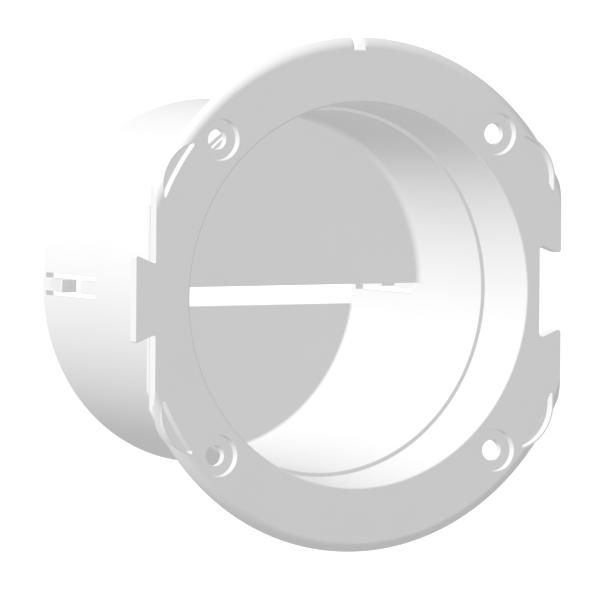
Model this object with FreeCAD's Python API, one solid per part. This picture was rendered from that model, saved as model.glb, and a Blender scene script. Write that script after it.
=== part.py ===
import FreeCAD, Part
import math
import os

# Ventilation hose connector for a 100 mm hose, moulded in one piece.
# The bore runs along Y. The flange's front face lies at Y = 0 and faces -Y,
# the hose spigot points to +Y, and the notch that marks the top points to +Z.
# The origin is on the bore axis, in the plane of the front face.

# Hose spigot
SPIGOT_END_RADIUS = 50.0
SPIGOT_WALL = 2.45
SPIGOT_TAPER_DEG = 1.9
OVERALL_LENGTH = 89.3
SPIGOT_END_CHAMFER = 0.8
SPIGOT_END_INNER_CHAMFER = 0.4

# Socket behind the flange's mouth: its floor is the step where the spigot's bore begins
SOCKET_DEPTH = 20.1
SOCKET_STEP = 1.31
SOCKET_TAPER_DEG = 5.36
SOCKET_MOUTH_ROUND = 0.6

# Collar around the socket, necked down before the first rib
COLLAR_WALL = 1.9
COLLAR_NECK_WALL = 1.2
COLLAR_NECK_LENGTH = 1.9
COLLAR_ROOT_FILLET = 1.5

# Ribs around the root of the spigot that grip the hose and its clamp
RIB_COUNT = 2
RIB_BEFORE_STEP = 0.8
RIB_PITCH = 4.5
RIB_WIDTH = 1.5
RIB_HEIGHT = 1.4

# Screw holes
SCREW_COUNT = 4
SCREW_FIRST_DEG = 45.0
SCREW_FROM_MOUTH = 8.6
SCREW_HOLE_RADIUS = 2.85
SCREW_HEAD_RADIUS = 5.75
SCREW_HEAD_DEPTH = 2.3

# Flange: a front plate with a rounded rim, and a smaller plate behind it
RIM_FROM_SCREW = 9.25
RIM_ROUND = 2.8
FRONT_PLATE = 3.2
REAR_PLATE = 1.4
REAR_PLATE_SETBACK = 1.9
FLAT_DEPTH = 7.0
REAR_FLAT_PROUD = 0.15

# Square-edged corners of the flange, each with a pocket behind a thin lip
CORNER_RADIUS = 12.75
CORNER_DEG = 32.3
CORNER_INSET = 0.08
POCKET_LIP = 0.5
POCKET_FLOOR = 2.1
POCKET_FROM_RIM = 3.9
POCKET_PAST_CORNER = 3.0

# Dovetail that joins two connectors side by side: tab at -X, slot at +X
DOVETAIL_ROOT_HALF = 9.75
DOVETAIL_FLARE = 2.45
DOVETAIL_LENGTH = 6.15
DOVETAIL_SIDE_CLEARANCE = 0.35
DOVETAIL_END_CLEARANCE = 0.85
DOVETAIL_TIP_ROUND = 0.5
DOVETAIL_ROOT_FILLET = 0.4
SLOT_MOUTH_ROUND = 0.9
SLOT_FLOOR_FILLET = 1.0

# Notch in the rim that marks the top
MARK_WIDTH = 3.4
MARK_DEPTH = 3.4

# Snap tongues at both sides of the spigot, cut free by an H-shaped opening
TONGUE_WIDTH = 3.5
TONGUE_SLIT = 1.4
SLIT_LENGTH = 29.8
END_RING = 2.5
REAR_TONGUE_LENGTH = 13.8
TONGUE_GAP = 6.7
CATCH_HEIGHT = 2.3
CATCH_LAND = 0.7
CATCH_RAMP = 10.0
CATCH_TIP_ROUND = 0.4

# Baffle plates across the bore: upper half in front of the tongues, lower part at the end
BAFFLE_THICKNESS = 2.0
BAFFLE_BEFORE_SLIT = 3.2
UPPER_BAFFLE_EDGE_Z = 0.2
BAFFLE_EDGE_GAP = 7.3
UPPER_BAFFLE_FILLET = 2.0
LOWER_BAFFLE_FILLET = 1.0

# Reach of a cutting tool beyond the face that it cuts
OVERCUT = 2.0

AXIS = FreeCAD.Vector(0, 1, 0)
ORIGIN = FreeCAD.Vector(0, 0, 0)
TAN_SPIGOT = math.tan(math.radians(SPIGOT_TAPER_DEG))
TAN_SOCKET = math.tan(math.radians(SOCKET_TAPER_DEG))


def spigot_outer(y):
    return SPIGOT_END_RADIUS + (OVERALL_LENGTH - y) * TAN_SPIGOT


def spigot_inner(y):
    return spigot_outer(y) - SPIGOT_WALL


def socket_inner(y):
    return spigot_inner(SOCKET_DEPTH) + SOCKET_STEP + (SOCKET_DEPTH - y) * TAN_SOCKET


def collar_outer(y):
    return socket_inner(y) + COLLAR_WALL


def root_outer(y):
    """Outside of the spigot's root, which still covers the socket's narrow end."""
    return max(spigot_outer(y), socket_inner(y) + COLLAR_NECK_WALL)


SCREW_CIRCLE_RADIUS = socket_inner(0) + SCREW_FROM_MOUTH
FLANGE_RADIUS = SCREW_CIRCLE_RADIUS + RIM_FROM_SCREW
FLANGE_THICKNESS = FRONT_PLATE + REAR_PLATE
FLAT_X = FLANGE_RADIUS - FLAT_DEPTH
CORNER_CENTRE_RADIUS = FLANGE_RADIUS - CORNER_INSET - CORNER_RADIUS
CORNER_CENTRE_X = CORNER_CENTRE_RADIUS * math.cos(math.radians(CORNER_DEG))
CORNER_CENTRE_Z = CORNER_CENTRE_RADIUS * math.sin(math.radians(CORNER_DEG))
RIB_FIRST_Y = SOCKET_DEPTH - RIB_BEFORE_STEP
COLLAR_END_Y = RIB_FIRST_Y - COLLAR_NECK_LENGTH
SLIT_END_Y = OVERALL_LENGTH - END_RING
SLIT_START_Y = SLIT_END_Y - SLIT_LENGTH
CATCH_Y = SLIT_END_Y - REAR_TONGUE_LENGTH
UPPER_BAFFLE_Y = SLIT_START_Y - BAFFLE_BEFORE_SLIT - BAFFLE_THICKNESS
LOWER_BAFFLE_Y = OVERALL_LENGTH - BAFFLE_THICKNESS


def in_profile(u, v):
    """A point of a turned profile: radius and depth."""
    return FreeCAD.Vector(u, v, 0)


def in_front(u, v):
    """A point of an outline seen from the front: width and height."""
    return FreeCAD.Vector(u, 0, v)


def rounded_wire(corners, place):
    """Closed wire through corners (u, v, radius), each corner rounded by its radius."""
    edges = []
    ends = []
    count = len(corners)
    for i in range(count):
        u, v, radius = corners[i]
        point = place(u, v)
        before = place(*corners[i - 1][:2]) - point
        after = place(*corners[(i + 1) % count][:2]) - point
        before.normalize()
        after.normalize()
        if radius == 0:
            ends.append((point, point))
            continue
        half = before.getAngle(after) / 2
        reach = radius / math.tan(half)
        middle = (before + after).normalize() * (radius / math.sin(half) - radius)
        start = point + before * reach
        stop = point + after * reach
        edges.append(Part.Arc(start, point + middle, stop).toShape())
        ends.append((start, stop))
    for i in range(count):
        here = ends[i - 1][1]
        there = ends[i][0]
        if here.distanceToPoint(there) > 1e-6:
            edges.append(Part.LineSegment(here, there).toShape())
    return Part.Wire(Part.__sortEdges__(edges))


def turned(corners, degrees=360):
    """Solid of revolution about the bore axis."""
    face = Part.Face(rounded_wire(corners, in_profile))
    return face.revolve(ORIGIN, AXIS, degrees)


def prism(corners, y_start, y_end):
    """Outline seen from the front, extruded along the bore axis."""
    face = Part.Face(rounded_wire(corners, in_front))
    face.translate(AXIS * y_start)
    return face.extrude(AXIS * (y_end - y_start))


def disc(radius, y_start, y_end, x=0, z=0):
    return Part.makeCylinder(radius, y_end - y_start, FreeCAD.Vector(x, y_start, z), AXIS)


def block(x_start, x_end, y_start, y_end, z_start, z_end):
    corner = FreeCAD.Vector(x_start, y_start, z_start)
    return Part.makeBox(x_end - x_start, y_end - y_start, z_end - z_start, corner)


def half_turn(shape):
    """The same shape on the other side of the bore."""
    copy = shape.copy()
    copy.rotate(ORIGIN, AXIS, 180)
    return copy


def rib_corners(y):
    """Outline of one rib whose front face is at depth y."""
    y_back = y + RIB_WIDTH
    crest = spigot_outer(y) + RIB_HEIGHT
    return [
        (root_outer(y), y, 0),
        (crest, y, 0),
        (crest, y_back, 0),
        (root_outer(y_back), y_back, 0),
    ]


def body_of_revolution():
    """Flange, collar, ribs, spigot, socket and bore as one turned wall."""
    rear_radius = FLANGE_RADIUS - REAR_PLATE_SETBACK
    end_inner = spigot_inner(OVERALL_LENGTH)
    corners = [
        (socket_inner(0), 0, SOCKET_MOUTH_ROUND),
        (FLANGE_RADIUS, 0, RIM_ROUND),
        (FLANGE_RADIUS, FRONT_PLATE, 0),
        (rear_radius, FRONT_PLATE, 0),
        (rear_radius, FLANGE_THICKNESS, 0),
        (collar_outer(FLANGE_THICKNESS), FLANGE_THICKNESS, COLLAR_ROOT_FILLET),
        (collar_outer(COLLAR_END_Y), COLLAR_END_Y, 0),
        (root_outer(COLLAR_END_Y), COLLAR_END_Y, 0),
    ]
    for i in range(RIB_COUNT):
        corners += rib_corners(RIB_FIRST_Y + i * RIB_PITCH)
    chamfer_y = OVERALL_LENGTH - SPIGOT_END_CHAMFER
    inner_chamfer_y = OVERALL_LENGTH - SPIGOT_END_INNER_CHAMFER
    corners += [
        (spigot_outer(chamfer_y), chamfer_y, 0),
        (SPIGOT_END_RADIUS - SPIGOT_END_CHAMFER, OVERALL_LENGTH, 0),
        (end_inner + SPIGOT_END_INNER_CHAMFER, OVERALL_LENGTH, 0),
        (spigot_inner(inner_chamfer_y), inner_chamfer_y, 0),
        (spigot_inner(SOCKET_DEPTH), SOCKET_DEPTH, 0),
        (socket_inner(SOCKET_DEPTH), SOCKET_DEPTH, 0),
    ]
    return turned(corners)


def corner_outline(inset):
    """Rounded rectangle whose corners stand out at the four corners of the flange."""
    r = CORNER_RADIUS - inset
    u = CORNER_CENTRE_X + r
    v = CORNER_CENTRE_Z + r
    return [(-u, -v, r), (u, -v, r), (u, v, r), (-u, v, r)]


def flange_corners():
    """Square-edged corners over the whole thickness, opened for the bore."""
    plate = prism(corner_outline(0), 0, FLANGE_THICKNESS)
    return plate.cut(disc(SCREW_CIRCLE_RADIUS, -OVERCUT, FLANGE_THICKNESS + OVERCUT))


def corner_pockets():
    """Crescent pockets between the round part of the front face and the corner lips."""
    y_floor = FLANGE_THICKNESS - POCKET_FLOOR
    hollow = prism(corner_outline(POCKET_LIP), -OVERCUT, y_floor)
    hollow = hollow.cut(disc(FLANGE_RADIUS - POCKET_FROM_RIM, -OVERCUT, y_floor))
    x_start = CORNER_CENTRE_X + POCKET_PAST_CORNER
    z_start = CORNER_CENTRE_Z - POCKET_PAST_CORNER
    pockets = []
    for side_x in (-1, 1):
        for side_z in (-1, 1):
            x_ends = sorted((side_x * x_start, side_x * FLANGE_RADIUS))
            z_ends = sorted((side_z * z_start, side_z * FLANGE_RADIUS))
            pockets.append(hollow.common(block(*x_ends, -OVERCUT, y_floor, *z_ends)))
    return pockets


def rim_flats():
    """What the two flats take off the round plates; the rear plate stands slightly proud."""
    reach = FLANGE_RADIUS + OVERCUT
    y_end = FLANGE_THICKNESS + OVERCUT
    front = block(FLAT_X, reach, -OVERCUT, FRONT_PLATE, -reach, reach)
    rear = block(FLAT_X + REAR_FLAT_PROUD, reach, FRONT_PLATE, y_end, -reach, reach)
    flat = front.fuse(rear)
    return [flat, half_turn(flat)]


def screw_holes():
    """Counterbored holes on the screw circle."""
    tools = []
    for i in range(SCREW_COUNT):
        angle = math.radians(SCREW_FIRST_DEG + i * 360 / SCREW_COUNT)
        x = SCREW_CIRCLE_RADIUS * math.cos(angle)
        z = SCREW_CIRCLE_RADIUS * math.sin(angle)
        tools.append(disc(SCREW_HOLE_RADIUS, -OVERCUT, FLANGE_THICKNESS + OVERCUT, x, z))
        tools.append(disc(SCREW_HEAD_RADIUS, -OVERCUT, SCREW_HEAD_DEPTH, x, z))
    return tools


def tab_half_height(reach):
    """Half the tab's height at a distance out from its root."""
    return DOVETAIL_ROOT_HALF + DOVETAIL_FLARE * reach / DOVETAIL_LENGTH


def dovetail_tab():
    """Dovetail on the -X flat, as thick as the front plate."""
    root = -FLAT_X
    tip = root - DOVETAIL_LENGTH
    inside = root + DOVETAIL_LENGTH
    tip_half = tab_half_height(DOVETAIL_LENGTH)
    outline = [
        (inside, -tip_half, 0),
        (root, -tip_half, 0),
        (root, -DOVETAIL_ROOT_HALF, DOVETAIL_ROOT_FILLET),
        (tip, -tip_half, DOVETAIL_TIP_ROUND),
        (tip, tip_half, DOVETAIL_TIP_ROUND),
        (root, DOVETAIL_ROOT_HALF, DOVETAIL_ROOT_FILLET),
        (root, tip_half, 0),
        (inside, tip_half, 0),
    ]
    return prism(outline, 0, FRONT_PLATE)


def dovetail_slot():
    """Slot in the +X flat for the tab of a neighbour whose rear plate touches this one's."""
    flat_gap = 2 * REAR_FLAT_PROUD
    depth = DOVETAIL_LENGTH - flat_gap + DOVETAIL_END_CLEARANCE
    floor = FLAT_X - depth
    outside = FLAT_X + depth
    mouth_half = tab_half_height(flat_gap) + DOVETAIL_SIDE_CLEARANCE
    floor_half = tab_half_height(flat_gap + depth) + DOVETAIL_SIDE_CLEARANCE
    outline = [
        (floor, -floor_half, SLOT_FLOOR_FILLET),
        (FLAT_X, -mouth_half, SLOT_MOUTH_ROUND),
        (FLAT_X, -floor_half, 0),
        (outside, -floor_half, 0),
        (outside, floor_half, 0),
        (FLAT_X, floor_half, 0),
        (FLAT_X, mouth_half, SLOT_MOUTH_ROUND),
        (floor, floor_half, SLOT_FLOOR_FILLET),
    ]
    return prism(outline, -OVERCUT, FLANGE_THICKNESS + OVERCUT)


def top_mark():
    """Notch through the rim at the top."""
    floor = FLANGE_RADIUS - MARK_DEPTH
    top = FLANGE_RADIUS + OVERCUT
    y_end = FLANGE_THICKNESS + OVERCUT
    return block(-MARK_WIDTH / 2, MARK_WIDTH / 2, -OVERCUT, y_end, floor, top)


def baffle(y_face, fillet, z_start, z_end):
    """Plate across the bore between two heights, filleted in front where it meets the wall."""
    y_back = y_face + BAFFLE_THICKNESS
    y_front = y_face - 2 * fillet
    buried = spigot_inner(y_back) + SPIGOT_WALL / 2
    corners = [
        (0, y_face, 0),
        (spigot_inner(y_face), y_face, fillet),
        (spigot_inner(y_front), y_front, 0),
        (buried, y_front, 0),
        (buried, y_back, 0),
        (0, y_back, 0),
    ]
    reach = FLANGE_RADIUS
    return turned(corners).common(block(-reach, reach, y_front, y_back, z_start, z_end))


def tongue_opening():
    """H-shaped opening in the +X wall: two slits along the tongues and a gap between their tips."""
    x_start = spigot_inner(OVERALL_LENGTH) - OVERCUT
    x_end = spigot_outer(SLIT_START_Y) + OVERCUT
    inner = TONGUE_WIDTH / 2
    outer = inner + TONGUE_SLIT
    gap = block(x_start, x_end, CATCH_Y - TONGUE_GAP, CATCH_Y, -outer, outer)
    upper = block(x_start, x_end, SLIT_START_Y, SLIT_END_Y, inner, outer)
    lower = block(x_start, x_end, SLIT_START_Y, SLIT_END_Y, -outer, -inner)
    return gap.fuse([upper, lower])


def catch():
    """Barb on the rear tongue: steep face towards the flange, ramp towards the spigot's end."""
    foot = CATCH_Y + CATCH_RAMP
    crest = spigot_outer(CATCH_Y) + CATCH_HEIGHT
    inside = spigot_inner(foot) + SPIGOT_WALL / 2
    corners = [
        (inside, CATCH_Y, 0),
        (crest, CATCH_Y, CATCH_TIP_ROUND),
        (crest, CATCH_Y + CATCH_LAND, 0),
        (spigot_outer(foot), foot, 0),
        (inside, foot, 0),
    ]
    face = Part.Face(rounded_wire(corners, in_profile))
    face.translate(FreeCAD.Vector(0, 0, -TONGUE_WIDTH / 2))
    return face.extrude(FreeCAD.Vector(0, 0, TONGUE_WIDTH))


def hose_connector():
    body = body_of_revolution().cut(rim_flats())
    body = body.fuse([flange_corners(), dovetail_tab()])
    body = body.cut(corner_pockets() + screw_holes() + [dovetail_slot(), top_mark()])

    reach = FLANGE_RADIUS
    lower_edge_z = UPPER_BAFFLE_EDGE_Z - BAFFLE_EDGE_GAP
    upper = baffle(UPPER_BAFFLE_Y, UPPER_BAFFLE_FILLET, UPPER_BAFFLE_EDGE_Z, reach)
    lower = baffle(LOWER_BAFFLE_Y, LOWER_BAFFLE_FILLET, -reach, lower_edge_z)
    body = body.fuse([upper, lower])

    opening = tongue_opening()
    barb = catch()
    body = body.cut([opening, half_turn(opening)])
    body = body.fuse([barb, half_turn(barb)])
    return body.removeSplitter().Solids[0]


os.makedirs("parts", exist_ok=True)
connector = hose_connector()
connector.exportStep("parts/hose_connector.step")
print("hose_connector", connector.isValid(), len(connector.Solids), round(connector.Volume))
print(connector.BoundBox)
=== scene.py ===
import math

import bmesh
import bpy
from mathutils import Matrix, Vector
from mathutils.kdtree import KDTree


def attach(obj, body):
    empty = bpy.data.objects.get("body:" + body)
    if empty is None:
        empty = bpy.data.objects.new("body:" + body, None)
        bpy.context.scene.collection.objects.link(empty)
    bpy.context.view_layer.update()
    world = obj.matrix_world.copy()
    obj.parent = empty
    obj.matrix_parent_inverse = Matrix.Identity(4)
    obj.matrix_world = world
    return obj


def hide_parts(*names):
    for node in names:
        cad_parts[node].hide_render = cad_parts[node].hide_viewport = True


bl_info = {
    "name": "Ventilation hose connector",
    "version": (1, 0, 0),
    "blender": (4, 5, 0),
    "location": "3D View > Sidebar > Connector",
    "description": "Builds a moulded hose connector: flange, socket, spigot, baffles and tongues",
    "category": "Add Mesh",
}

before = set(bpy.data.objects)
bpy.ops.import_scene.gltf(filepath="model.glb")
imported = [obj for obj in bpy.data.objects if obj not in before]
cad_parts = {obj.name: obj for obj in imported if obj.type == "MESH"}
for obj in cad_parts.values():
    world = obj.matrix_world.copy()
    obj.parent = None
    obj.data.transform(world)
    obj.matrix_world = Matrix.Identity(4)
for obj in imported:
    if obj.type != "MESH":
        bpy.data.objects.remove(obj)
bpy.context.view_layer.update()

BODY = "root"
CAD_NODE = "hose_connector"
SLOT = "white_plastic"
PIECE = "connector_moulding"

# Lengths are in metres. The bore runs along Y from the front face, and Z points up.
MM = 0.001
AXIS = Vector((0, 1, 0))
SHOWN_DIGITS = 5

# Facets of a full turn. At 144 no facet's edge falls beside a tongue's slit.
TURN_STEPS = 144
HEAD_STEPS = 64
HOLE_STEPS = 48
# A rounded corner is a circular arc, and its facets lie this close to the true one
ROUND_PROFILE = 0.5
ROUND_ERROR = 0.006 * MM

# Points closer than the first are one point, and faces thinner than the second are none
WELD = 0.01 * MM
TINY = WELD / 10
# How far a cutting tool reaches past the surface that it cuts
OVERCUT = 2 * MM

RIB_COUNT = 2
SCREW_COUNT = 4
FIRST_SCREW_DEGREES = 45
# A baffle's fillet runs into the wall by this share of its radius, and starts so many radii ahead
BLEND_DEPTH = 0.02
FILLET_LEAD = 2
# How far the catch's ramp ends below the tongue's surface
CATCH_SINK = 0.02 * MM

# Faces that meet at more than the first angle get a bevel, at less than the second smooth
# shading, and at less than the third they become one face
SHARP_EDGE = math.radians(38)
SMOOTH_BELOW = math.radians(32)
FLAT_ENOUGH = math.radians(0.2)
BEVEL_SEGMENTS = 2
# Sharp edges are cut to this length, so that a bevel can run out over a short stretch
LONGEST_EDGE = 1.5 * MM
# A run of edges goes on where the next one leaves at more than this angle
STRAIGHT_ON = math.radians(145)
# Another run lies beside an edge, and not ahead of it, from this angle on
BESIDE = math.radians(40)
# Where two runs meet at less than this angle, their bevels run out
NARROW = math.radians(50)
# Bevel widths that an edge wants to be clear on each side
EDGE_ROOM = 3.5
# A bevel grows by this share of its width from one short edge to the next
RUN_OUT_RISE = 0.1
RUN_OUT_PASSES = 8

# Plastic: noise scales per metre, and how much each noise changes shade and roughness
CLOUD_SCALE, CLOUD_DETAIL = 38.0, 3.0
WEAR_SCALE, WEAR_DETAIL = 260.0, 4.0
GRAIN_SCALE, GRAIN_DETAIL = 2600.0, 2.0
CLOUD_SHADE, WEAR_SHADE = 0.03, 0.012
CLOUD_ROUGHNESS, WEAR_ROUGHNESS = 0.10, 0.08
MEAN_NOISE = 0.5
GRAIN_STRENGTH = 0.35
PLASTIC_IOR = 1.49
PLASTIC_SPECULAR = 0.35
# Places of the colour sockets on a Mix node
MIX_FIRST, MIX_SECOND, MIX_RESULT = 6, 7, 2

# Floor: paper that is pale enough to pass into the background
WHITE = (1, 1, 1, 1)
FLOOR_SIZE = 24
FLOOR_CUTS = 3
FLOOR_LEVEL = -0.22
PAPER_SCALE, PAPER_DETAIL = 3.0, 2.0
PAPER_TONE, PAPER_MOTTLE = 0.95, 0.02
PAPER_ROUGHNESS = 0.9
PAPER_SPECULAR = 0.1
PAPER_GLOW = 0.22

# Light: the key comes from the upper left, a little from the front, and the room does the rest.
# The back light stands opposite the camera and only reaches what the camera doesn't see.
KEY_DIRECTION = (-0.783, -0.175, 0.596)
KEY_STRENGTH = 2.43
KEY_SIZE = math.radians(20)
BACK_STRENGTH = 1.1
BACK_SIZE = math.radians(2)
ROOM_LIGHT = 0.583

# Camera: the photograph's viewing angle, seen without perspective
CAMERA_AZIMUTH = math.radians(29.188)
CAMERA_ELEVATION = math.radians(2.81)
CAMERA_ROLL = math.radians(-0.405)
VIEW_WIDTH = 165.16 * MM
VIEW_RIGHT = -16.06 * MM
VIEW_DOWN = 1.35 * MM
CAMERA_DISTANCE = 0.6
CAMERA_REACH = 20


def length(name, millimetres, description):
    """A size in the sidebar, stated in millimetres and kept in metres."""
    return bpy.props.FloatProperty(
        name=name, description=description, default=millimetres * MM,
        unit="LENGTH", subtype="DISTANCE", precision=SHOWN_DIGITS)


def angle(name, degrees, description):
    """An angle in the sidebar, stated in degrees and kept in radians."""
    return bpy.props.FloatProperty(
        name=name, description=description, default=math.radians(degrees),
        unit="ROTATION", subtype="ANGLE")


class SpigotSizes(bpy.types.PropertyGroup):
    overall: length("Overall length", 89.3, "From the front face to the spigot's end")
    end_radius: length("End radius", 50.0, "Outside radius of the spigot at its end")
    wall: length("Wall", 2.45, "Thickness of the spigot's wall")
    taper: angle("Taper", 1.9, "Draft of the spigot on both sides of its wall")
    end_chamfer: length("End chamfer", 0.8, "Bevel around the outside of the end")
    end_round: length("End round", 0.44, "Radius around the inside of the end")
    socket_depth: length("Socket depth", 20.1, "From the front face to the step in the bore")
    socket_step: length("Socket step", 1.31, "Width of the step in the bore")
    socket_taper: angle("Socket taper", 5.36, "Draft of the socket")
    mouth_round: length("Mouth round", 0.6, "Radius of the edge where the socket begins")
    collar_wall: length("Collar wall", 1.9, "Thickness of the collar around the socket")
    neck_wall: length("Neck wall", 1.2, "Wall left around the socket's narrow end")
    neck_length: length("Neck length", 1.9, "Groove between the collar and the first rib")
    collar_fillet: length("Collar fillet", 1.5, "Fillet between the collar and the flange")
    rib_lead: length("Rib lead", 0.8, "From the first rib's face to the step in the bore")
    rib_pitch: length("Rib pitch", 4.5, "Distance from one rib to the next")
    rib_width: length("Rib width", 1.5, "Width of one rib")
    rib_height: length("Rib height", 1.4, "How far a rib stands out")
    edge_round: length("Edge round", 0.22, "Radius that the mould leaves on the turned edges")
    edge_bevel: length("Edge bevel", 0.12, "Width of the bevel on all other edges")


class FlangeSizes(bpy.types.PropertyGroup):
    screw_inset: length("Screw inset", 8.6, "From the socket's mouth out to the screw circle")
    screw_radius: length("Screw hole radius", 2.85, "Radius of a screw hole")
    head_radius: length("Screw head radius", 5.75, "Radius of a counterbore")
    head_depth: length("Screw head depth", 2.3, "Depth of a counterbore")
    rim_width: length("Rim width", 9.25, "From the screw circle out to the rim")
    rim_round: length("Rim round", 2.8, "Radius of the rim's front edge")
    front_plate: length("Front plate", 3.2, "Thickness of the front plate")
    rear_plate: length("Rear plate", 1.4, "Thickness of the smaller plate behind it")
    rear_setback: length("Rear setback", 1.9, "How much smaller the rear plate's radius is")
    flat_depth: length("Flat depth", 7.0, "How deep the two flats are cut into the rim")
    rear_proud: length("Rear plate proud", 0.15, "How far the rear plate stands out at a flat")
    corner_radius: length("Corner radius", 12.75, "Radius of a square-edged corner")
    corner_angle: angle(
        "Corner angle", 32.3, "Height of a corner's centre above the middle of the flats")
    corner_inset: length("Corner inset", 0.08, "How far a corner stays inside the rim")
    pocket_lip: length("Pocket lip", 0.5, "Thickness of the lip around a corner pocket")
    pocket_floor: length("Pocket floor", 2.1, "Thickness behind a corner pocket")
    pocket_inset: length("Pocket inset", 3.9, "From the rim in to a pocket's inner wall")
    pocket_reach: length(
        "Pocket reach", 3.0, "How far a pocket's ends stay from the corner's centre")
    mark_width: length("Top mark width", 3.4, "Width of the notch that marks the top")
    mark_depth: length("Top mark depth", 3.4, "Depth of the notch that marks the top")
    tab_root: length("Tab root", 9.75, "Half the dovetail tab's height at its root")
    tab_flare: length("Tab flare", 2.45, "How much wider the tab is at its tip, on each side")
    tab_length: length("Tab length", 6.15, "How far the dovetail tab stands out")
    tab_tip_round: length("Tab tip round", 0.5, "Radius of the tab's corners")
    tab_root_fillet: length("Tab root fillet", 0.4, "Fillet at the tab's root")
    slot_side: length("Slot side clearance", 0.35, "Clearance on each side of a neighbour's tab")
    slot_end: length("Slot end clearance", 0.85, "Clearance at the end of a neighbour's tab")
    slot_mouth_round: length("Slot mouth round", 0.9, "Radius of the slot's outer corners")
    slot_floor_fillet: length("Slot floor fillet", 1.0, "Radius of the slot's inner corners")


class TongueSizes(bpy.types.PropertyGroup):
    width: length("Tongue width", 3.5, "Width of a snap tongue")
    slit: length("Slit", 1.4, "Width of the slit on each side of a tongue")
    slit_length: length("Slit length", 29.8, "Length of both tongues with the gap between them")
    end_ring: length("End ring", 2.5, "Wall left between the slits and the spigot's end")
    rear_length: length("Rear tongue", 13.8, "Length of the tongue that carries the catch")
    gap: length("Gap", 6.7, "Distance between the tips of the two tongues")
    catch_height: length("Catch height", 2.3, "How far the catch stands out")
    catch_land: length("Catch land", 0.7, "Flat on top of the catch")
    catch_ramp: length("Catch ramp", 10.0, "Length of the catch with its ramp")
    catch_round: length("Catch round", 0.4, "Radius of the catch's edge")


class BaffleSizes(bpy.types.PropertyGroup):
    thickness: length("Thickness", 2.0, "Thickness of both plates")
    lead: length("Lead", 3.2, "From the upper plate's back to the slits")
    upper_edge: length("Upper edge", 0.2, "Height of the upper plate's free edge")
    edge_gap: length("Edge gap", 7.3, "Height between the free edges of the two plates")
    upper_fillet: length("Upper fillet", 2.0, "Fillet between the upper plate and the wall")
    lower_fillet: length("Lower fillet", 1.0, "Fillet between the lower plate and the wall")


class PlasticLook(bpy.types.PropertyGroup):
    colour: bpy.props.FloatVectorProperty(
        name="Colour", description="Colour of the plastic", subtype="COLOR", size=3,
        default=(0.8, 0.8, 0.8), min=0, max=1)
    roughness: bpy.props.FloatProperty(
        name="Roughness", description="Mean roughness of the moulded surface", default=0.48,
        min=0, max=1, subtype="FACTOR")
    grain: length("Grain", 0.012, "Height of the fine grain that the mould leaves")


def select_only(piece):
    """Leaves edit mode and makes one object, or none, the only one selected."""
    if bpy.context.mode != "OBJECT":
        bpy.ops.object.mode_set(mode="OBJECT")
    bpy.ops.object.select_all(action="DESELECT")
    if piece is not None:
        piece.select_set(True)
        bpy.context.view_layer.objects.active = piece


def edit_all():
    """Enters edit mode on the active object, with all of its mesh selected."""
    bpy.ops.object.mode_set(mode="EDIT")
    bpy.ops.mesh.select_all(action="SELECT")


def pick_vertices(piece, wanted):
    """Selects the vertices of a mesh in edit mode whose place passes a test."""
    mesh = bmesh.from_edit_mesh(piece.data)
    bpy.ops.mesh.select_all(action="DESELECT")
    for vertex in mesh.verts:
        vertex.select = wanted(vertex.co)
    mesh.select_flush_mode()
    bmesh.update_edit_mesh(piece.data)


def in_profile(radius, depth):
    """A point of a turned profile, drawn on the right of the bore."""
    return Vector((radius, depth, 0))


def in_front(across, up):
    """A point of an outline seen from the front."""
    return Vector((across, 0, up))


def from_side(depth, up):
    """A point of an outline seen from the side."""
    return Vector((0, depth, up))


def outline(name, corners, place):
    """A flat face through corners (u, v, radius); it stays in edit mode."""
    points = [place(u, v) for u, v, _ in corners]
    select_only(None)
    bpy.ops.mesh.primitive_plane_add(size=MM)
    piece = bpy.context.object
    piece.name = name
    edit_all()
    bpy.ops.mesh.merge(type="CENTER")
    bpy.ops.transform.translate(value=points[0])
    for here, there in zip(points, points[1:]):
        bpy.ops.mesh.extrude_region_move(TRANSFORM_OT_translate={"value": there - here})
    bpy.ops.mesh.select_all(action="SELECT")
    bpy.ops.mesh.edge_face_add()
    for i, (_, _, radius) in enumerate(corners):
        if radius > 0:
            round_corner(piece, points, i, radius)
    return piece


def round_corner(piece, points, i, radius):
    """Rounds one corner of an outline with an arc of that radius."""
    corner = points[i]
    before = points[i - 1] - corner
    after = points[(i + 1) % len(points)] - corner
    opening = before.angle(after)
    reach = radius / math.tan(opening / 2)
    step = 2 * math.acos(1 - ROUND_ERROR / radius)
    segments = math.ceil((math.pi - opening) / step)
    pick_vertices(piece, lambda place: (place - corner).length < WELD)
    bpy.ops.mesh.bevel(
        offset_type="OFFSET", offset=reach, segments=segments, profile=ROUND_PROFILE,
        affect="VERTICES")


def put_in_order(piece):
    """Sorts a mesh by the places of its parts, so that each run goes on from the same mesh."""
    old = piece.data
    order = sorted(old.vertices, key=lambda vertex: tuple(vertex.co))
    rank = {vertex.index: i for i, vertex in enumerate(order)}
    edges = sorted(sorted(rank[i] for i in edge.vertices) for edge in old.edges)
    faces = []
    for face in old.polygons:
        corners = [rank[i] for i in face.vertices]
        first = corners.index(min(corners))
        faces.append(corners[first:] + corners[:first])
    mesh = bmesh.new()
    vertices = [mesh.verts.new(vertex.co) for vertex in order]
    for kind, groups in ((mesh.edges, edges), (mesh.faces, sorted(faces))):
        for group in groups:
            kind.new([vertices[i] for i in group])
    mesh.to_mesh(old)
    mesh.free()


def close_shell(piece):
    """Merges doubles and turns all faces outwards, then leaves edit mode."""
    bpy.ops.mesh.select_all(action="SELECT")
    bpy.ops.mesh.remove_doubles(threshold=WELD)
    bpy.ops.mesh.normals_make_consistent(inside=False)
    bpy.ops.object.mode_set(mode="OBJECT")
    put_in_order(piece)


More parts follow.
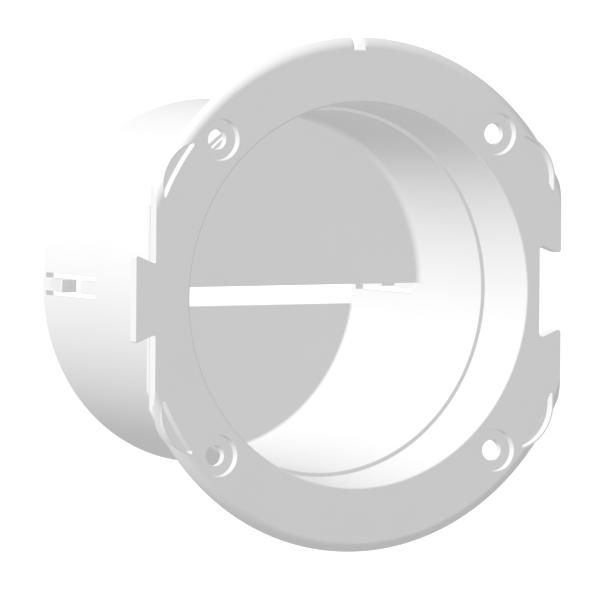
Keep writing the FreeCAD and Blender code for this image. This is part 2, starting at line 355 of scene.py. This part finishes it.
def turned(name, corners):
    """A profile spun round the bore's axis."""
    piece = outline(name, corners, in_profile)
    bpy.ops.mesh.select_all(action="SELECT")
    bpy.ops.mesh.delete(type="ONLY_FACE")
    bpy.ops.mesh.select_all(action="SELECT")
    bpy.ops.mesh.spin(steps=TURN_STEPS, angle=math.tau, center=(0, 0, 0), axis=AXIS)
    close_shell(piece)
    return piece


def prism(name, corners, place, start, travel):
    """An outline moved to its start and extruded along a vector."""
    piece = outline(name, corners, place)
    bpy.ops.mesh.select_all(action="SELECT")
    bpy.ops.transform.translate(value=start)
    bpy.ops.mesh.extrude_region_move(TRANSFORM_OT_translate={"value": travel})
    close_shell(piece)
    return piece


def rectangle(left, right, bottom, top):
    """Square corners of an outline."""
    return [(left, bottom, 0), (right, bottom, 0), (right, top, 0), (left, top, 0)]


def plate_from_front(name, corners, y_start, y_end):
    """An outline seen from the front, extruded between two depths."""
    return prism(name, corners, in_front, AXIS * y_start, AXIS * (y_end - y_start))


def rod(name, radius, y_start, y_end, across=0.0, up=0.0, steps=TURN_STEPS):
    """A round bar along the bore's direction."""
    select_only(None)
    bpy.ops.mesh.primitive_circle_add(vertices=steps, radius=radius, fill_type="NGON")
    piece = bpy.context.object
    piece.name = name
    edit_all()
    bpy.ops.transform.rotate(value=math.pi / 2, orient_axis="X", center_override=(0, 0, 0))
    bpy.ops.transform.translate(value=(across, y_start, up))
    bpy.ops.mesh.extrude_region_move(
        TRANSFORM_OT_translate={"value": AXIS * (y_end - y_start)})
    close_shell(piece)
    return piece


def together(tools):
    """Tools that don't touch each other, as one object."""
    select_only(tools[0])
    for tool in tools:
        tool.select_set(True)
    bpy.ops.object.join()
    joined = bpy.context.object
    put_in_order(joined)
    return joined


def combine(piece, tool, operation):
    """Joins, cuts or intersects a piece with a tool, and removes the tool."""
    select_only(piece)
    bpy.ops.object.modifier_add(type="BOOLEAN")
    step = piece.modifiers[-1]
    step.operation = operation
    step.solver = "EXACT"
    step.object = tool
    bpy.ops.object.modifier_apply(modifier=step.name)
    select_only(tool)
    bpy.ops.object.delete()
    select_only(piece)
    edit_all()
    bpy.ops.mesh.remove_doubles(threshold=WELD)
    bpy.ops.mesh.dissolve_degenerate(threshold=TINY)
    bpy.ops.object.mode_set(mode="OBJECT")
    put_in_order(piece)
    if not piece.data.polygons:
        raise RuntimeError("nothing is left of " + piece.name)


def turned_copy(piece, turn):
    """A copy with its own mesh, turned about the bore's axis."""
    select_only(piece)
    bpy.ops.object.duplicate(linked=False)
    copy = bpy.context.object
    edit_all()
    bpy.ops.transform.rotate(value=turn, orient_axis="Y", center_override=(0, 0, 0))
    bpy.ops.object.mode_set(mode="OBJECT")
    return copy


# In the functions that follow, s, f, t and b hold the sizes of the spigot, the flange, the
# tongues and the baffles, and y is a depth behind the front face. The first five give the
# radius of a wall at a depth.


def spigot_outer(s, y):
    return s.end_radius + (s.overall - y) * math.tan(s.taper)


def spigot_inner(s, y):
    return spigot_outer(s, y) - s.wall


def socket_inner(s, y):
    floor_radius = spigot_inner(s, s.socket_depth) + s.socket_step
    return floor_radius + (s.socket_depth - y) * math.tan(s.socket_taper)


def collar_outer(s, y):
    return socket_inner(s, y) + s.collar_wall


def root_outer(s, y):
    """Outside of the spigot's root, which still covers the socket's narrow end."""
    return max(spigot_outer(s, y), socket_inner(s, y) + s.neck_wall)


def screw_circle(s, f):
    return socket_inner(s, 0) + f.screw_inset


def rim_radius(s, f):
    return screw_circle(s, f) + f.rim_width


def flat_x(s, f):
    return rim_radius(s, f) - f.flat_depth


def flange_thickness(f):
    return f.front_plate + f.rear_plate


def slit_end(s, t):
    return s.overall - t.end_ring


def slit_start(s, t):
    return slit_end(s, t) - t.slit_length


def catch_face(s, t):
    return slit_end(s, t) - t.rear_length


def turned_wall(s, f):
    """Flange, collar, ribs, spigot, socket and bore as one turned wall."""
    rim = rim_radius(s, f)
    thickness = flange_thickness(f)
    first_rib = s.socket_depth - s.rib_lead
    collar_end = first_rib - s.neck_length
    corners = [
        (socket_inner(s, 0), 0, s.mouth_round),
        (rim, 0, f.rim_round),
        (rim, f.front_plate, 0),
        (rim - f.rear_setback, f.front_plate, 0),
        (rim - f.rear_setback, thickness, 0),
        (collar_outer(s, thickness), thickness, s.collar_fillet),
        (collar_outer(s, collar_end), collar_end, s.edge_round),
        (root_outer(s, collar_end), collar_end, s.edge_round),
    ]
    for i in range(RIB_COUNT):
        y = first_rib + i * s.rib_pitch
        y_back = y + s.rib_width
        crest = spigot_outer(s, y) + s.rib_height
        corners += [
            (root_outer(s, y), y, s.edge_round),
            (crest, y, s.edge_round),
            (crest, y_back, s.edge_round),
            (root_outer(s, y_back), y_back, s.edge_round),
        ]
    chamfer = s.overall - s.end_chamfer
    corners += [
        (spigot_outer(s, chamfer), chamfer, s.edge_round),
        (s.end_radius - s.end_chamfer, s.overall, s.edge_round),
        (spigot_inner(s, s.overall), s.overall, s.end_round),
        (spigot_inner(s, s.socket_depth), s.socket_depth, s.edge_round),
        (socket_inner(s, s.socket_depth), s.socket_depth, s.edge_round),
    ]
    return turned(PIECE, corners)


def corner_centre(s, f):
    """Centre of the arc of the flange's upper right corner."""
    reach = rim_radius(s, f) - f.corner_inset - f.corner_radius
    return reach * math.cos(f.corner_angle), reach * math.sin(f.corner_angle)


def corner_outline(s, f, inset):
    """Rounded rectangle whose corners stand out at the four corners of the flange."""
    across, up = corner_centre(s, f)
    r = f.corner_radius - inset
    u = across + r
    v = up + r
    return [(-u, -v, r), (u, -v, r), (u, v, r), (-u, v, r)]


def flange_corners(s, f):
    """Square-edged corners over the whole thickness, opened for the bore."""
    thickness = flange_thickness(f)
    plate = plate_from_front("corner_plate", corner_outline(s, f, 0), 0, thickness)
    bore = rod("corner_bore", screw_circle(s, f), -OVERCUT, thickness + OVERCUT)
    combine(plate, bore, "DIFFERENCE")
    return plate


def corner_pocket(s, f, side_x, side_z):
    """Crescent pocket between the round part of the front face and one corner's lip."""
    floor = flange_thickness(f) - f.pocket_floor
    far = rim_radius(s, f)
    across, up = corner_centre(s, f)
    x_ends = sorted((side_x * (across + f.pocket_reach), side_x * far))
    z_ends = sorted((side_z * (up - f.pocket_reach), side_z * far))
    hollow = plate_from_front("pocket", corner_outline(s, f, f.pocket_lip), -OVERCUT, floor)
    core = rod("pocket_core", far - f.pocket_inset, -2 * OVERCUT, floor + OVERCUT)
    combine(hollow, core, "DIFFERENCE")
    window = plate_from_front(
        "pocket_window", rectangle(*x_ends, *z_ends), -2 * OVERCUT, floor + OVERCUT)
    combine(hollow, window, "INTERSECT")
    return hollow


def rim_flats(s, f):
    """What the flats take off the round plates; the rear plate stands slightly proud."""
    reach = rim_radius(s, f) + OVERCUT
    front_edge = flat_x(s, f)
    rear_edge = front_edge + f.rear_proud
    y_end = flange_thickness(f) + OVERCUT
    steps = ((front_edge, -OVERCUT), (reach, -OVERCUT), (reach, y_end),
             (rear_edge, y_end), (rear_edge, f.front_plate), (front_edge, f.front_plate))
    bottom = Vector((0, 0, -reach))
    flats = []
    for side in (-1, 1):
        corners = [(side * x, y, 0) for x, y in steps]
        flats.append(prism("flat", corners, in_profile, bottom, -2 * bottom))
    return together(flats)


def screw_tools(s, f, radius, y_end, steps):
    """Round bars on the screw circle, halfway between the flats and the top."""
    around = screw_circle(s, f)
    tools = []
    for i in range(SCREW_COUNT):
        turn = math.radians(FIRST_SCREW_DEGREES + i * 360 / SCREW_COUNT)
        across, up = around * math.cos(turn), around * math.sin(turn)
        tools.append(rod("screw", radius, -OVERCUT, y_end, across, up, steps))
    return tools


def tab_half_height(f, reach):
    """Half the dovetail's height at a distance from its root."""
    return f.tab_root + f.tab_flare * reach / f.tab_length


def dovetail_tab(s, f):
    """Dovetail on the left flat, as thick as the front plate."""
    root = -flat_x(s, f)
    tip = root - f.tab_length
    inside = root + f.tab_length
    tip_half = tab_half_height(f, f.tab_length)
    corners = [
        (inside, -tip_half, 0),
        (root, -tip_half, 0),
        (root, -f.tab_root, f.tab_root_fillet),
        (tip, -tip_half, f.tab_tip_round),
        (tip, tip_half, f.tab_tip_round),
        (root, f.tab_root, f.tab_root_fillet),
        (root, tip_half, 0),
        (inside, tip_half, 0),
    ]
    return plate_from_front("tab", corners, 0, f.front_plate)


def dovetail_slot(s, f):
    """Slot in the right flat for a neighbour's tab, when the two rear plates touch."""
    gap = 2 * f.rear_proud
    depth = f.tab_length - gap + f.slot_end
    mouth = flat_x(s, f)
    floor = mouth - depth
    outside = mouth + depth
    mouth_half = tab_half_height(f, gap) + f.slot_side
    floor_half = tab_half_height(f, gap + depth) + f.slot_side
    corners = [
        (floor, -floor_half, f.slot_floor_fillet),
        (mouth, -mouth_half, f.slot_mouth_round),
        (mouth, -floor_half, 0),
        (outside, -floor_half, 0),
        (outside, floor_half, 0),
        (mouth, floor_half, 0),
        (mouth, mouth_half, f.slot_mouth_round),
        (floor, floor_half, f.slot_floor_fillet),
    ]
    return plate_from_front("slot", corners, -OVERCUT, flange_thickness(f) + OVERCUT)


def top_mark(s, f):
    """Notch through the rim at the top."""
    rim = rim_radius(s, f)
    half = f.mark_width / 2
    corners = rectangle(-half, half, rim - f.mark_depth, rim + OVERCUT)
    return plate_from_front("top_mark", corners, -OVERCUT, flange_thickness(f) + OVERCUT)


def shape_flange(body, s, f):
    """Gives the turned flange its flats, corners, pockets, screw holes, dovetails and mark."""
    combine(body, rim_flats(s, f), "DIFFERENCE")
    combine(body, flange_corners(s, f), "UNION")
    combine(body, dovetail_tab(s, f), "UNION")
    cuts = [corner_pocket(s, f, side_x, side_z) for side_x in (-1, 1) for side_z in (-1, 1)]
    cuts += screw_tools(s, f, f.head_radius, f.head_depth, HEAD_STEPS)
    cuts += [dovetail_slot(s, f), top_mark(s, f)]
    combine(body, together(cuts), "DIFFERENCE")
    hole_end = flange_thickness(f) + OVERCUT
    holes = screw_tools(s, f, f.screw_radius, hole_end, HOLE_STEPS)
    combine(body, together(holes), "DIFFERENCE")


def baffle(name, s, f, thickness, y_face, fillet, z_ends):
    """Plate across the bore between two heights, filleted in front where it meets the wall."""
    y_back = y_face + thickness
    y_front = y_face - FILLET_LEAD * fillet
    mid_wall = spigot_inner(s, y_back) + s.wall / 2
    skin = fillet * BLEND_DEPTH
    corners = [
        (0, y_face, 0),
        (spigot_inner(s, y_face) + skin, y_face, fillet),
        (spigot_inner(s, y_front) + skin, y_front, 0),
        (mid_wall, y_front, 0),
        (mid_wall, y_back, 0),
        (0, y_back, 0),
    ]
    plate = turned(name, corners)
    reach = rim_radius(s, f)
    half = plate_from_front(
        "half_bore", rectangle(-reach, reach, *z_ends), y_front - OVERCUT, y_back + OVERCUT)
    combine(plate, half, "INTERSECT")
    return plate


def add_baffles(body, s, f, t, b):
    """Puts the upper plate in front of the tongues' slits and the lower one at the end."""
    upper_face = slit_start(s, t) - b.lead - b.thickness
    lower_face = s.overall - b.thickness
    reach = rim_radius(s, f)
    above = (b.upper_edge, reach)
    below = (-reach, b.upper_edge - b.edge_gap)
    upper = baffle("upper_baffle", s, f, b.thickness, upper_face, b.upper_fillet, above)
    lower = baffle("lower_baffle", s, f, b.thickness, lower_face, b.lower_fillet, below)
    combine(body, together([upper, lower]), "UNION")


def tongue_opening(s, t, side):
    """H-shaped opening in a side wall: two slits along the tongues, a gap between their tips."""
    start, end = slit_start(s, t), slit_end(s, t)
    gap_end = catch_face(s, t)
    gap_start = gap_end - t.gap
    near = spigot_inner(s, s.overall) - OVERCUT
    far = spigot_outer(s, start) + OVERCUT
    inner = t.width / 2
    outer = inner + t.slit
    corners = [
        (start, outer, 0), (start, inner, 0), (gap_start, inner, 0), (gap_start, -inner, 0),
        (start, -inner, 0), (start, -outer, 0), (end, -outer, 0), (end, -inner, 0),
        (gap_end, -inner, 0), (gap_end, inner, 0), (end, inner, 0), (end, outer, 0),
    ]
    across = Vector((side, 0, 0))
    return prism("tongue_opening", corners, from_side, across * near, across * (far - near))


def catch(s, t):
    """Barb on the rear tongue: steep face towards the flange, ramp towards the end."""
    y = catch_face(s, t)
    foot = y + t.catch_ramp
    crest = spigot_outer(s, y) + t.catch_height
    mid_wall = spigot_inner(s, foot) + s.wall / 2
    corners = [
        (mid_wall, y, 0),
        (crest, y, t.catch_round),
        (crest, y + t.catch_land, 0),
        (spigot_outer(s, foot) - CATCH_SINK, foot, 0),
        (mid_wall, foot, 0),
    ]
    half = t.width / 2
    return prism("catch", corners, in_profile, Vector((0, 0, -half)), Vector((0, 0, 2 * half)))


def free_tongues(body, s, t):
    """Cuts the snap tongues free on both sides and puts the catches on them."""
    openings = [tongue_opening(s, t, side) for side in (-1, 1)]
    combine(body, together(openings), "DIFFERENCE")
    barb = catch(s, t)
    barbs = together([barb, turned_copy(barb, math.pi)])
    combine(body, barbs, "UNION")


def sharp_edges(mesh):
    """Edges that get a bevel."""
    return [edge for edge in mesh.edges if edge.calc_face_angle(0) > SHARP_EDGE]


def split_long_edges(mesh):
    """Cuts long sharp edges into short ones."""
    for edge in sharp_edges(mesh):
        start = edge.verts[0]
        for pieces in range(math.ceil(edge.calc_length() / LONGEST_EDGE), 1, -1):
            start = bmesh.utils.edge_split(edge, start, 1 / pieces)[1]


def meeting_angle(vertex, first, second):
    """Angle between two edges that leave the same vertex."""
    one_way = first.other_vert(vertex).co - vertex.co
    other_way = second.other_vert(vertex).co - vertex.co
    return one_way.angle(other_way)


def number_runs(sharp):
    """Numbers the runs of sharp edges; a run goes on until it comes to a corner."""
    runs = {}
    members = set(sharp)
    for first in sharp:
        waiting = [] if first in runs else [first]
        runs.setdefault(first, len(runs))
        while waiting:
            edge = waiting.pop()
            for vertex in edge.verts:
                others = [other for other in vertex.link_edges
                          if other in members and other is not edge]
                if len(others) != 1 or others[0] in runs:
                    continue
                if meeting_angle(vertex, edge, others[0]) > STRAIGHT_ON:
                    runs[others[0]] = runs[edge]
                    waiting.append(others[0])
    return runs


def room_beside(runs, width, room):
    """The share of the wanted room that each sharp edge has until another run is beside it."""
    share = dict.fromkeys(runs, 1.0)
    marks = []
    for edge in runs:
        start, end = (vertex.co for vertex in edge.verts)
        steps = math.ceil(edge.calc_length() / width)
        marks += [(start.lerp(end, i / steps), edge) for i in range(steps + 1)]
    tree = KDTree(len(marks))
    for i, (place, _) in enumerate(marks):
        tree.insert(place, i)
    tree.balance()
    for place, edge in marks:
        along = edge.verts[1].co - edge.verts[0].co
        seen = {runs[edge]}
        near = sorted(tree.find_range(place, room), key=lambda found: found[2])
        for there, i, distance in near:
            run = runs[marks[i][1]]
            if run in seen:
                continue
            seen.add(run)
            if distance > 0 and BESIDE < (there - place).angle(along) < math.pi - BESIDE:
                share[edge] = min(share[edge], distance / room)
    return share


def stop_at_narrow_corners(mesh, runs, weight):
    """Takes the bevel off edges of two runs that meet at a narrow angle."""
    for vertex in mesh.verts:
        meeting = [edge for edge in vertex.link_edges if edge in runs]
        for first in meeting:
            for second in meeting:
                apart = runs[first] != runs[second]
                if apart and meeting_angle(vertex, first, second) < NARROW:
                    first[weight] = 0


def even_out(runs, weight):
    """Lets the weight along a run rise only step by step from its lowest places."""
    for _ in range(RUN_OUT_PASSES):
        for edge in runs:
            for vertex in edge.verts:
                for other in vertex.link_edges:
                    if runs.get(other) == runs[edge]:
                        edge[weight] = min(edge[weight], other[weight] + RUN_OUT_RISE)


def weigh_edges(piece, width):
    """Gives sharp edges a bevel weight: 1, or less where another run of edges is close by."""
    mesh = bmesh.new()
    mesh.from_mesh(piece.data)
    weight = mesh.edges.layers.float.new("bevel_weight_edge")
    split_long_edges(mesh)
    runs = number_runs(sharp_edges(mesh))
    for edge, share in room_beside(runs, width, EDGE_ROOM * width).items():
        edge[weight] = share
    stop_at_narrow_corners(mesh, runs, weight)
    even_out(runs, weight)
    mesh.to_mesh(piece.data)
    mesh.free()


def soften_edges(piece, width):
    """Gives sharp edges the small round that a mould leaves, and smooth shading between."""
    select_only(piece)
    edit_all()
    bpy.ops.mesh.dissolve_limited(angle_limit=FLAT_ENOUGH)
    bpy.ops.object.mode_set(mode="OBJECT")
    put_in_order(piece)
    weigh_edges(piece, width)
    bpy.ops.object.modifier_add(type="BEVEL")
    bevel = piece.modifiers[-1]
    bevel.width = width
    bevel.segments = BEVEL_SEGMENTS
    bevel.limit_method = "WEIGHT"
    bevel.use_clamp_overlap = False
    bpy.ops.object.modifier_apply(modifier=bevel.name)
    edit_all()
    bpy.ops.mesh.remove_doubles(threshold=WELD)
    bpy.ops.object.mode_set(mode="OBJECT")
    put_in_order(piece)
    bpy.ops.object.shade_smooth_by_angle(angle=SMOOTH_BELOW)
    bpy.ops.object.modifier_add(type="WEIGHTED_NORMAL")
    normals = piece.modifiers[-1]
    normals.keep_sharp = True
    bpy.ops.object.modifier_apply(modifier=normals.name)


class Quantity:
    """A socket of a material's nodes that can be added, taken away and multiplied."""

    def __init__(self, finish, socket):
        self.finish = finish
        self.socket = socket

    def math(self, operation, first, second):
        node = self.finish.node(
            "ShaderNodeMath", {"operation": operation}, {0: first, 1: second})
        return Quantity(self.finish, node.outputs[0])

    def __add__(self, other):
        return self.math("ADD", self, other)

    def __radd__(self, other):
        return self.math("ADD", other, self)

    def __sub__(self, other):
        return self.math("SUBTRACT", self, other)

    def __rsub__(self, other):
        return self.math("SUBTRACT", other, self)

    def __mul__(self, other):
        return self.math("MULTIPLY", self, other)

    def __rmul__(self, other):
        return self.math("MULTIPLY", other, self)


class Finish:
    """A material with its node tree, and one method that adds a node to it."""

    def __init__(self, name):
        self.data = bpy.data.materials.new(name)
        self.data.use_nodes = True
        self.tree = self.data.node_tree
        self.tree.nodes.clear()
        self.place = self.node("ShaderNodeTexCoord").outputs["Object"]

    def node(self, kind, settings=None, inputs=None):
        """A node with its settings, then the values or links of its sockets."""
        node = self.tree.nodes.new(kind)
        for key, value in (settings or {}).items():
            setattr(node, key, value)
        for key, value in (inputs or {}).items():
            socket = node.inputs[key]
            if isinstance(value, Quantity):
                value = value.socket
            if isinstance(value, bpy.types.NodeSocket):
                self.tree.links.new(value, socket)
            else:
                socket.default_value = value
        return node

    def noise(self, scale, detail):
        """Noise from 0 to 1 that is fixed to the object."""
        node = self.node("ShaderNodeTexNoise", {"noise_dimensions": "3D"},
                         {"Vector": self.place, "Scale": scale, "Detail": detail})
        return Quantity(self, node.outputs["Fac"])

    def grey(self, level):
        """A grey as light as a value."""
        return self.node(
            "ShaderNodeCombineColor", inputs={0: level, 1: level, 2: level}).outputs[0]

    def surface(self, inputs):
        """The material, ended in a Principled shader with those inputs."""
        shader = self.node("ShaderNodeBsdfPrincipled", inputs=inputs)
        self.node("ShaderNodeOutputMaterial", inputs={"Surface": shader.outputs[0]})
        return self.data


def white_plastic(look):
    """Satin plastic: faint clouds, a roughness that wanders, and the mould's fine grain."""
    finish = Finish(SLOT)
    cloud = finish.noise(CLOUD_SCALE, CLOUD_DETAIL) - MEAN_NOISE
    wear = finish.noise(WEAR_SCALE, WEAR_DETAIL) - MEAN_NOISE
    shade = 1 + cloud * CLOUD_SHADE + wear * WEAR_SHADE
    colour = finish.node(
        "ShaderNodeMix", {"data_type": "RGBA", "blend_type": "MULTIPLY"},
        {"Factor": 1.0, MIX_FIRST: (*look.colour, 1.0), MIX_SECOND: finish.grey(shade)})
    bump = finish.node(
        "ShaderNodeBump",
        inputs={"Strength": GRAIN_STRENGTH, "Distance": look.grain,
                "Height": finish.noise(GRAIN_SCALE, GRAIN_DETAIL)})
    return finish.surface({
        "Base Color": colour.outputs[MIX_RESULT],
        "Roughness": look.roughness + cloud * CLOUD_ROUGHNESS + wear * WEAR_ROUGHNESS,
        "Normal": bump.outputs[0],
        "IOR": PLASTIC_IOR,
        "Specular IOR Level": PLASTIC_SPECULAR,
    })


def floor_paper():
    """Pale seamless paper under the object."""
    finish = Finish("floor_paper")
    tone = PAPER_TONE + finish.noise(PAPER_SCALE, PAPER_DETAIL) * PAPER_MOTTLE
    return finish.surface({
        "Base Color": finish.grey(tone),
        "Roughness": PAPER_ROUGHNESS,
        "Specular IOR Level": PAPER_SPECULAR,
        "Emission Color": WHITE,
        "Emission Strength": PAPER_GLOW,
    })


class CONNECTOR_OT_moulding(bpy.types.Operator):
    """Build the connector as the one moulding that it is"""

    bl_idname = "connector.moulding"
    bl_label = "Build moulding"

    def execute(self, context):
        scene = context.scene
        s, f = scene.connector_spigot, scene.connector_flange
        t, b = scene.connector_tongues, scene.connector_baffles
        body = turned_wall(s, f)
        shape_flange(body, s, f)
        add_baffles(body, s, f, t, b)
        free_tongues(body, s, t)
        soften_edges(body, s.edge_bevel)

        body.data.materials.clear()
        body.data.materials.append(white_plastic(scene.connector_plastic))
        # The photograph's light is even: the moulding neither shades nor lights itself
        body.visible_diffuse = False
        body.visible_shadow = False
        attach(body, BODY)
        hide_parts(CAD_NODE)
        return {"FINISHED"}


def lay_floor():
    """Pale floor under the object that takes no part in its light."""
    select_only(None)
    bpy.ops.mesh.primitive_plane_add(size=FLOOR_SIZE, location=(0, 0, 0))
    floor = bpy.context.object
    floor.name = "floor"
    edit_all()
    bpy.ops.mesh.subdivide(number_cuts=FLOOR_CUTS)
    bpy.ops.transform.translate(value=(0, 0, FLOOR_LEVEL))
    bpy.ops.object.mode_set(mode="OBJECT")
    floor.data.materials.append(floor_paper())
    floor.visible_diffuse = False
    floor.visible_glossy = False


def light_room(scene):
    """Even white light from all around."""
    world = bpy.data.worlds.new("soft_room")
    scene.world = world
    world.use_nodes = True
    backdrop = world.node_tree.nodes["Background"]
    backdrop.inputs["Color"].default_value = WHITE
    backdrop.inputs["Strength"].default_value = ROOM_LIGHT


def add_sun(name, towards, strength, size):
    """A soft distant light that shines from a direction and casts no shadow."""
    bpy.ops.object.light_add(type="SUN")
    light = bpy.context.object
    light.name = name
    light.rotation_euler = Vector(towards).to_track_quat("Z", "Y").to_euler()
    light.data.energy = strength
    light.data.angle = size
    light.data.use_shadow = False


def camera_ahead():
    """Where the camera looks: from the front left, and a little downwards."""
    level = Vector((math.sin(CAMERA_AZIMUTH), math.cos(CAMERA_AZIMUTH), 0))
    down = Vector((0, 0, -math.sin(CAMERA_ELEVATION)))
    return level * math.cos(CAMERA_ELEVATION) + down


def place_camera(scene):
    """Stands the camera to the front left of the connector, a little above it."""
    ahead = camera_ahead()
    level = Vector((math.cos(CAMERA_AZIMUTH), -math.sin(CAMERA_AZIMUTH), 0))
    plumb = ahead.cross(level)
    right = level * math.cos(CAMERA_ROLL) + plumb * math.sin(CAMERA_ROLL)
    down = plumb * math.cos(CAMERA_ROLL) - level * math.sin(CAMERA_ROLL)
    bpy.ops.object.camera_add()
    camera = bpy.context.object
    camera.name = "camera"
    camera.data.type = "ORTHO"
    camera.data.ortho_scale = VIEW_WIDTH
    camera.data.clip_end = CAMERA_REACH
    camera.rotation_euler = Matrix((right, -down, -ahead)).transposed().to_euler()
    camera.location = right * VIEW_RIGHT + down * VIEW_DOWN - ahead * CAMERA_DISTANCE
    scene.camera = camera


class CONNECTOR_OT_stage(bpy.types.Operator):
    """Set up the pale floor, the soft light and the camera"""

    bl_idname = "connector.stage"
    bl_label = "Set up stage"

    def execute(self, context):
        scene = context.scene
        lay_floor()
        light_room(scene)
        add_sun("key_light", KEY_DIRECTION, KEY_STRENGTH, KEY_SIZE)
        add_sun("back_light", camera_ahead(), BACK_STRENGTH, BACK_SIZE)
        place_camera(scene)
        scene.view_settings.view_transform = "Standard"
        return {"FINISHED"}


class CONNECTOR_PT_panel(bpy.types.Panel):
    """Sizes, look and build buttons of the hose connector"""

    bl_idname = "CONNECTOR_PT_panel"
    bl_label = "Hose connector"
    bl_space_type = "VIEW_3D"
    bl_region_type = "UI"
    bl_category = "Connector"

    def draw(self, context):
        layout = self.layout
        for kind in OPERATORS:
            layout.operator(kind.bl_idname)
        for name, group in PROPERTY_GROUPS.items():
            box = layout.box()
            for field in group.__annotations__:
                box.prop(getattr(context.scene, name), field)


OPERATORS = (CONNECTOR_OT_moulding, CONNECTOR_OT_stage)
PROPERTY_GROUPS = {
    "connector_spigot": SpigotSizes,
    "connector_flange": FlangeSizes,
    "connector_tongues": TongueSizes,
    "connector_baffles": BaffleSizes,
    "connector_plastic": PlasticLook,
}
CLASSES = (*PROPERTY_GROUPS.values(), *OPERATORS, CONNECTOR_PT_panel)


def register():
    for kind in CLASSES:
        bpy.utils.register_class(kind)
    for name, group in PROPERTY_GROUPS.items():
        setattr(bpy.types.Scene, name, bpy.props.PointerProperty(type=group))


def unregister():
    for name in PROPERTY_GROUPS:
        delattr(bpy.types.Scene, name)
    for kind in reversed(CLASSES):
        bpy.utils.unregister_class(kind)


def main():
    """Builds the connector and its stage."""
    register()
    bpy.ops.connector.moulding()
    bpy.ops.connector.stage()


if __name__ == "__main__":
    main()
